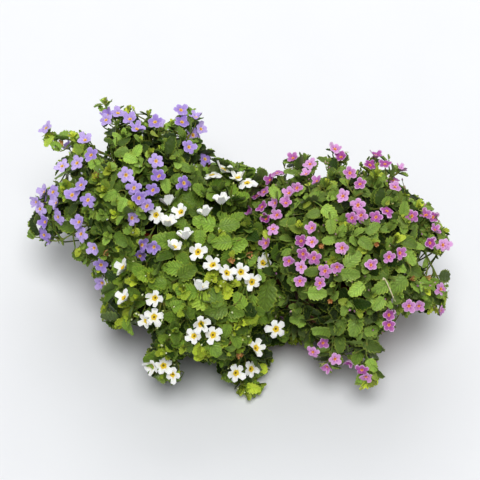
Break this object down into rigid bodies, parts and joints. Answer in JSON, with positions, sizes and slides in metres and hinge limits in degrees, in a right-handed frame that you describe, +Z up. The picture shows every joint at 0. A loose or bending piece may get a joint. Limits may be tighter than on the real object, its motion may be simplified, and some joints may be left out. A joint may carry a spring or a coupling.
{
  "type": "planted window box",
  "caption": "Small plastic window box filled with soil and planted with trailing bacopa in lavender-blue, white and pink, hiding nearly all of the box.",
  "frame": {"origin": "middle of the box's underside, on the face of its central foot bar", "axes": "+Z up out of the box, +X along the box towards the pink plant, -Y towards the front"},
  "size_m": [0.4775, 0.2943, 0.2145],
  "materials": {
    "box_plastic": "moulded red-brown plastic, satin, slightly dusty",
    "soil": "dark, crumbly peat-based potting soil",
    "lavender_bacopa": "dark green scalloped leaves, lavender-blue blooms with a golden eye",
    "white_bacopa": "bright yellow-green veined leaves, white blooms with a golden eye",
    "pink_bacopa": "grey-green leaves, pink-purple blooms with an orange eye"
  },
  "bodies": {
    "root": {"lavender_stem_01": "lavender_bacopa", "lavender_stem_02": "lavender_bacopa", "lavender_stem_03": "lavender_bacopa", "lavender_stem_04": "lavender_bacopa", "lavender_stem_05": "lavender_bacopa", "lavender_stem_06": "lavender_bacopa", "lavender_stem_07": "lavender_bacopa", "lavender_stem_08": "lavender_bacopa", "lavender_stem_09": "lavender_bacopa", "lavender_stem_10": "lavender_bacopa", "lavender_stem_11": "lavender_bacopa", "lavender_stem_12": "lavender_bacopa", "lavender_stem_13": "lavender_bacopa", "lavender_stem_14": "lavender_bacopa", "lavender_stem_15": "lavender_bacopa", "pink_stem_01": "pink_bacopa", "pink_stem_02": "pink_bacopa", "pink_stem_03": "pink_bacopa", "pink_stem_04": "pink_bacopa", "pink_stem_05": "pink_bacopa", "pink_stem_06": "pink_bacopa", "pink_stem_07": "pink_bacopa", "pink_stem_08": "pink_bacopa", "pink_stem_09": "pink_bacopa", "pink_stem_10": "pink_bacopa", "pink_stem_11": "pink_bacopa", "pink_stem_12": "pink_bacopa", "pink_stem_13": "pink_bacopa", "pink_stem_14": "pink_bacopa", "pink_stem_15": "pink_bacopa", "pink_stem_16": "pink_bacopa", "pink_stem_17": "pink_bacopa", "pink_stem_18": "pink_bacopa", "potting_soil": "soil", "white_stem_01": "white_bacopa", "white_stem_02": "white_bacopa", "white_stem_03": "white_bacopa", "white_stem_04": "white_bacopa", "white_stem_05": "white_bacopa", "white_stem_06": "white_bacopa", "white_stem_07": "white_bacopa", "white_stem_08": "white_bacopa", "white_stem_09": "white_bacopa", "white_stem_10": "white_bacopa", "white_stem_11": "white_bacopa", "white_stem_12": "white_bacopa", "white_stem_13": "white_bacopa", "white_stem_14": "white_bacopa", "white_stem_15": "white_bacopa", "white_stem_16": "white_bacopa", "window_box": "box_plastic"}
  },
  "joints": []
}
